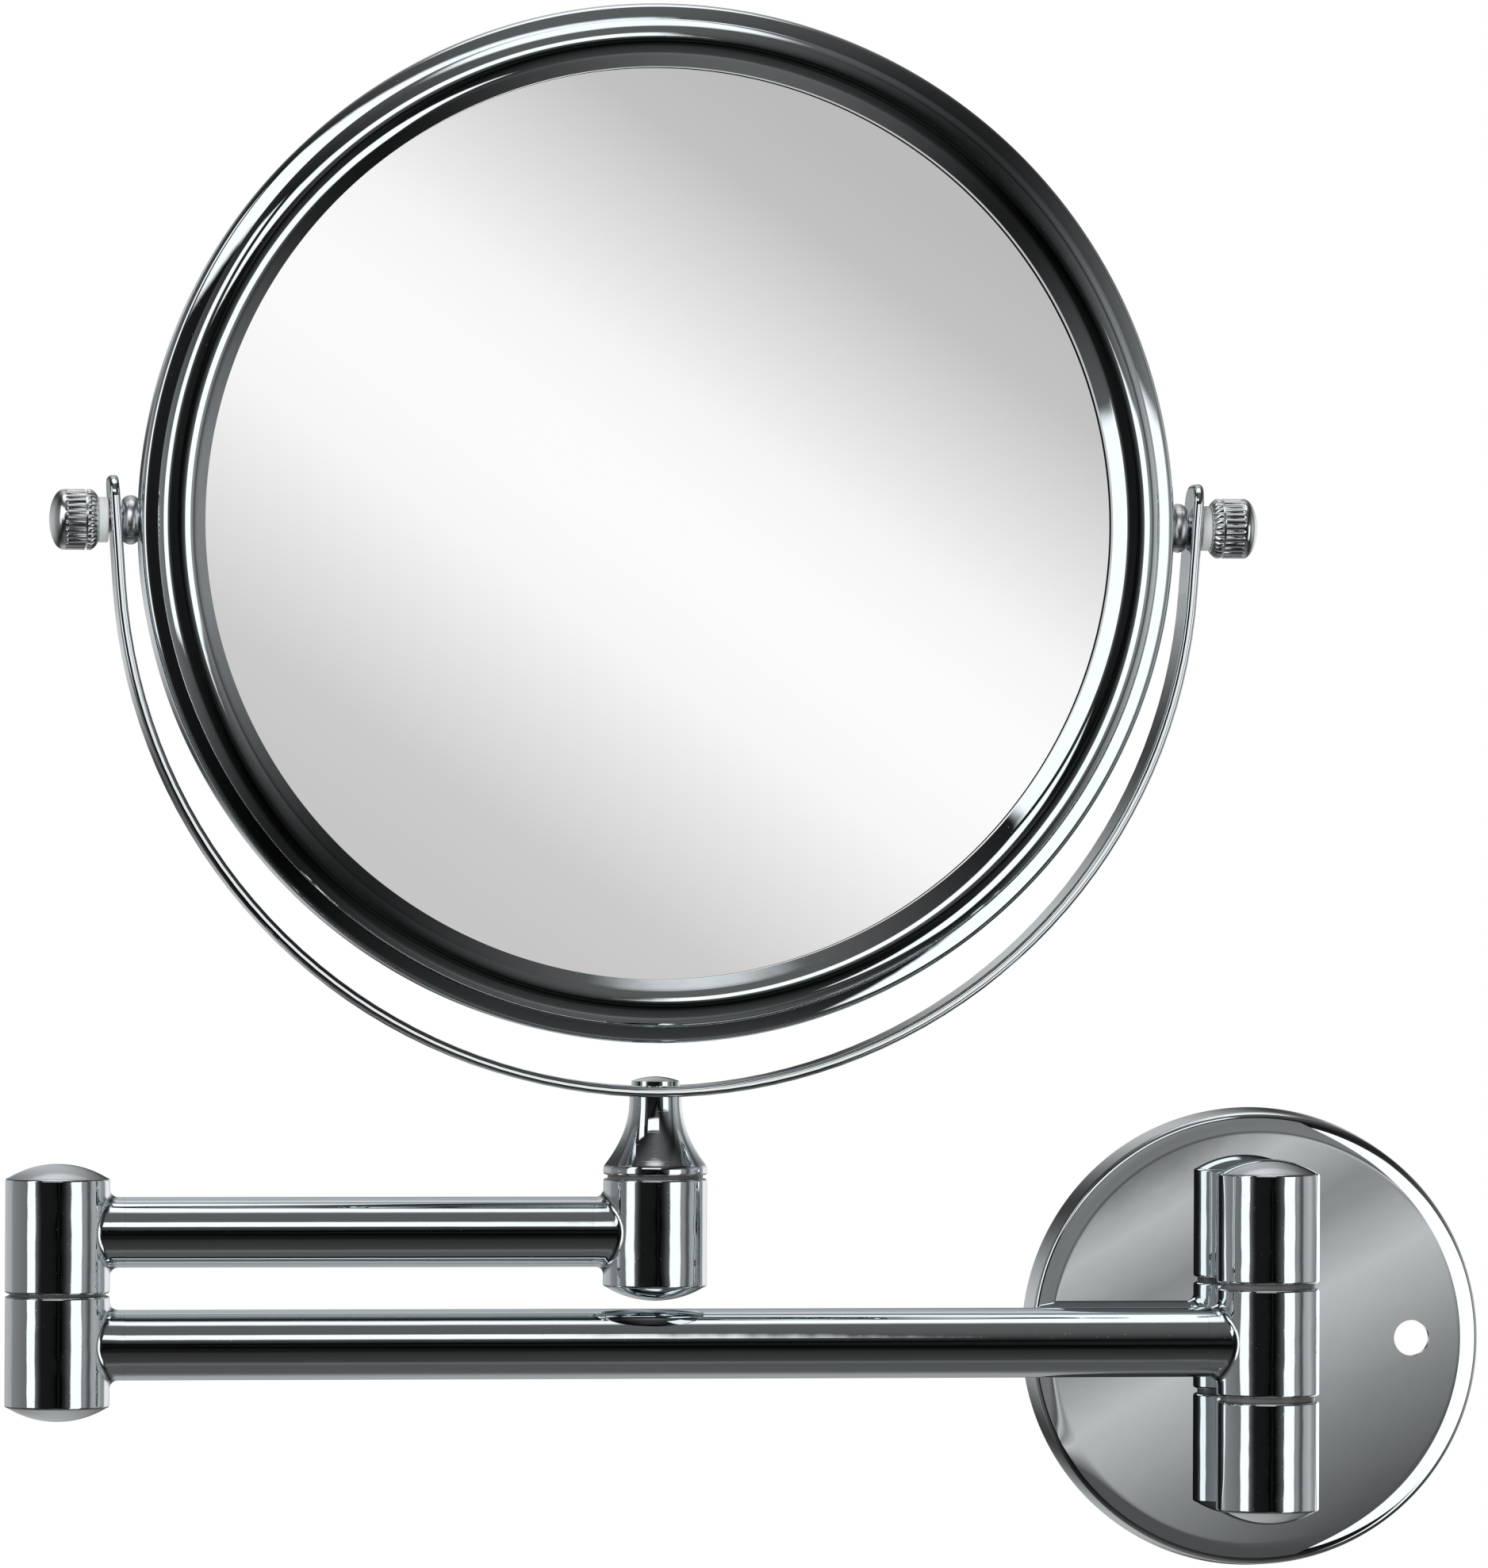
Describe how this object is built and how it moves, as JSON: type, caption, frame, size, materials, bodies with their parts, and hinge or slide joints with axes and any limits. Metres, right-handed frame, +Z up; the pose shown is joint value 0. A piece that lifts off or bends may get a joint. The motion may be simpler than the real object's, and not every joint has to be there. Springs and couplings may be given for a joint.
{
  "type": "extendable shaving mirror",
  "caption": "Wall-mounted extendable shaving mirror: round two-sided chrome mirror tilting in a fork on a folding double swivel arm with a round wall plate.",
  "frame": {"origin": "centre of the wall plate's back, in the wall's plane", "axes": "+Z up, +X along the wall to the right as seen from the room, +Y into the wall; the flat glass faces -Y and the arm is folded along the wall towards -X"},
  "size_m": [0.29, 0.032, 0.303],
  "materials": {
    "polished_chrome": "mirror-polished chrome plate",
    "knurled_chrome": "satin, knurled chrome plate",
    "steel": "plain turned steel",
    "nylon": "milky nylon",
    "mirror_glass": "silvered glass",
    "carrier_plastic": "moulded plastic, hidden in the rim"
  },
  "bodies": {
    "wall_bracket": {"wall_plate": "polished_chrome", "upper_wall_barrel": "polished_chrome", "lower_wall_barrel": "polished_chrome", "wall_hinge_top_cap": "polished_chrome", "wall_hinge_bottom_cap": "polished_chrome", "wall_hinge_pin": "steel", "bracket_screws": "steel"},
    "lower_arm": {"lower_arm_tube": "polished_chrome", "lower_arm_wall_barrel": "polished_chrome", "lower_arm_elbow_barrel": "polished_chrome", "upper_hinge_bush": "nylon", "lower_hinge_bush": "nylon", "elbow_pin": "steel", "elbow_spring_washer": "steel", "elbow_lock_nut": "steel", "elbow_bottom_cap": "polished_chrome"},
    "upper_arm": {"upper_arm_tube": "polished_chrome", "upper_arm_elbow_barrel": "polished_chrome", "elbow_bush": "nylon", "elbow_top_cap": "polished_chrome", "stem_barrel": "polished_chrome", "stem_bush": "nylon", "stem_bottom_cap": "polished_chrome"},
    "mirror_fork": {"fork_stem": "polished_chrome", "stem_spring_washer": "steel", "stem_lock_nut": "steel", "fork": "polished_chrome", "fork_screw": "polished_chrome"},
    "mirror_head": {"front_bezel": "polished_chrome", "rear_bezel": "polished_chrome", "glass_carrier_ring": "carrier_plastic", "front_mirror_glass": "mirror_glass", "rear_mirror_glass": "mirror_glass", "left_pivot_stud": "steel", "right_pivot_stud": "steel", "left_pivot_collar": "knurled_chrome", "right_pivot_collar": "knurled_chrome"},
    "left_clamp_spacer": {"left_spacer": "nylon"},
    "left_clamp_knob": {"left_knob": "knurled_chrome"},
    "right_clamp_spacer": {"right_spacer": "nylon"},
    "right_clamp_knob": {"right_knob": "knurled_chrome"}
  },
  "joints": [
    {"name": "wall_swivel", "type": "hinge", "parent": "wall_bracket", "child": "lower_arm", "pos_m": [0, -0.022, 0], "axis": [0, 0, 1], "range_deg": [0, 180]},
    {"name": "elbow_swivel", "type": "hinge", "parent": "lower_arm", "child": "upper_arm", "pos_m": [-0.235, -0.022, 0.01], "axis": [0, 0, 1], "continuous": true},
    {"name": "stem_swivel", "type": "hinge", "parent": "upper_arm", "child": "mirror_fork", "pos_m": [-0.12, -0.022, 0.0326], "axis": [0, 0, 1], "continuous": true},
    {"name": "mirror_tilt", "type": "hinge", "parent": "mirror_fork", "child": "mirror_head", "pos_m": [-0.12, -0.022, 0.15801], "axis": [1, 0, 0], "continuous": true},
    {"name": "left_spacer_slide", "type": "slide", "parent": "mirror_head", "child": "left_clamp_spacer", "axis": [-1, 0, 0], "range_m": [0, 0.0008]},
    {"name": "left_knob_turn", "type": "hinge", "parent": "left_clamp_spacer", "child": "left_clamp_knob", "pos_m": [-0.232, -0.022, 0.15801], "axis": [-1, 0, 0], "range_deg": [0, 360]},
    {"name": "right_spacer_slide", "type": "slide", "parent": "mirror_head", "child": "right_clamp_spacer", "axis": [1, 0, 0], "range_m": [0, 0.0008]},
    {"name": "right_knob_turn", "type": "hinge", "parent": "right_clamp_spacer", "child": "right_clamp_knob", "pos_m": [-0.008, -0.022, 0.15801], "axis": [1, 0, 0], "range_deg": [0, 360]}
  ],
  "couplings": [
    {"joint": "left_knob_turn", "follows": "left_spacer_slide", "rad_per_m": 7854},
    {"joint": "right_knob_turn", "follows": "right_spacer_slide", "rad_per_m": 7854}
  ]
}
